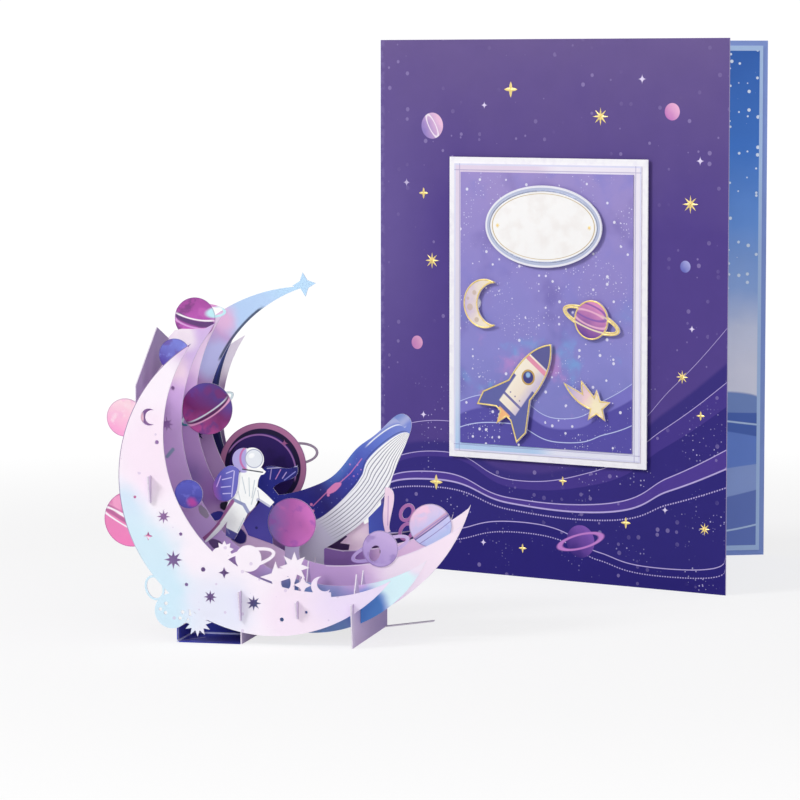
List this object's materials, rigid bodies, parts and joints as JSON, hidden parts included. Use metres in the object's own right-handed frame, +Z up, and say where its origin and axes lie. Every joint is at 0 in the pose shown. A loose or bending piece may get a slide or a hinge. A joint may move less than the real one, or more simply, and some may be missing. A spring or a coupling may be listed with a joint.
{
  "type": "pop up card",
  "caption": "Folded greeting card standing ajar with a raised picture on its cover, beside its moon shaped pop up of slotted paper crescents, planets, whale and astronaut.",
  "frame": {"origin": "under the middle of the whole arrangement, on the plane that it stands on (bottom centre of the overall box)", "axes": "+Z up; +X to the viewer's right along the crescent sheets, and down the middle of the card's opening; +Y away from the viewer"},
  "size_m": [0.1929, 0.2727, 0.205],
  "materials": {
    "astronaut_paper": "printed paper, matte",
    "astronaut_pack_paper": "printed paper, matte",
    "badge_board": "printed die-cut board, satin",
    "foam": "foam",
    "navy_paper": "printed paper, matte",
    "border_board": "printed board, satin",
    "cover_card": "printed card stock, satin",
    "crescent_1_front_paper": "printed paper, matte",
    "crescent_2_lilac_paper": "printed paper, matte",
    "crescent_3_violet_paper": "printed paper, matte",
    "crescent_4_star_paper": "printed paper, matte",
    "crescent_5_navy_paper": "printed paper, matte",
    "crescent_6_back_paper": "printed paper, matte",
    "liner_paper": "printed paper, matte",
    "night_panel_paper": "printed paper, matte",
    "picture_board": "printed board, satin",
    "planet_blue_small_paper": "printed paper, matte",
    "planet_dark_large_paper": "printed paper, matte",
    "planet_indigo_paper": "printed paper, matte",
    "planet_lilac_cutwork_paper": "printed paper, matte",
    "planet_pale_pink_paper": "printed paper, matte",
    "planet_pastel_paper": "printed paper, matte",
    "planet_pink_banded_paper": "printed paper, matte",
    "planet_plum_ringed_paper": "printed paper, matte",
    "planet_rose_paper": "printed paper, matte",
    "planet_violet_ringed_paper": "printed paper, matte",
    "rib_paper": "printed paper, matte",
    "starburst_paper": "printed paper, matte",
    "whale_paper": "printed paper, matte",
    "whale_flipper_paper": "printed paper, matte",
    "white_board": "uncoated white board"
  },
  "bodies": {
    "root": {"astronaut": "astronaut_paper", "astronaut_pack": "astronaut_pack_paper", "badge_comet": "badge_board", "badge_comet_foam": "foam", "badge_moon": "badge_board", "badge_moon_foam": "foam", "badge_planet": "badge_board", "badge_planet_foam": "foam", "badge_rocket": "badge_board", "badge_rocket_foam": "foam", "base_tray": "navy_paper", "border_mat": "border_board", "card_folder": "cover_card", "crescent_1_front": "crescent_1_front_paper", "crescent_2_lilac": "crescent_2_lilac_paper", "crescent_3_violet": "crescent_3_violet_paper", "crescent_4_star": "crescent_4_star_paper", "crescent_5_navy": "crescent_5_navy_paper", "crescent_6_back": "crescent_6_back_paper", "inner_liner": "liner_paper", "mat_foam": "foam", "night_panel": "night_panel_paper", "picture_board": "picture_board", "planet_blue_small": "planet_blue_small_paper", "planet_dark_large": "planet_dark_large_paper", "planet_indigo": "planet_indigo_paper", "planet_lilac_cutwork": "planet_lilac_cutwork_paper", "planet_pale_pink": "planet_pale_pink_paper", "planet_pastel": "planet_pastel_paper", "planet_pink_banded": "planet_pink_banded_paper", "planet_plum_ringed": "planet_plum_ringed_paper", "planet_rose": "planet_rose_paper", "planet_violet_ringed": "planet_violet_ringed_paper", "plaque": "badge_board", "plaque_foam": "foam", "rib_foot": "rib_paper", "rib_left": "rib_paper", "rib_middle": "rib_paper", "rib_shoulder": "rib_paper", "rib_waist": "rib_paper", "starburst": "starburst_paper", "table_strip": "navy_paper", "whale": "whale_paper", "whale_flipper": "whale_flipper_paper", "white_mat": "white_board"}
  },
  "joints": []
}
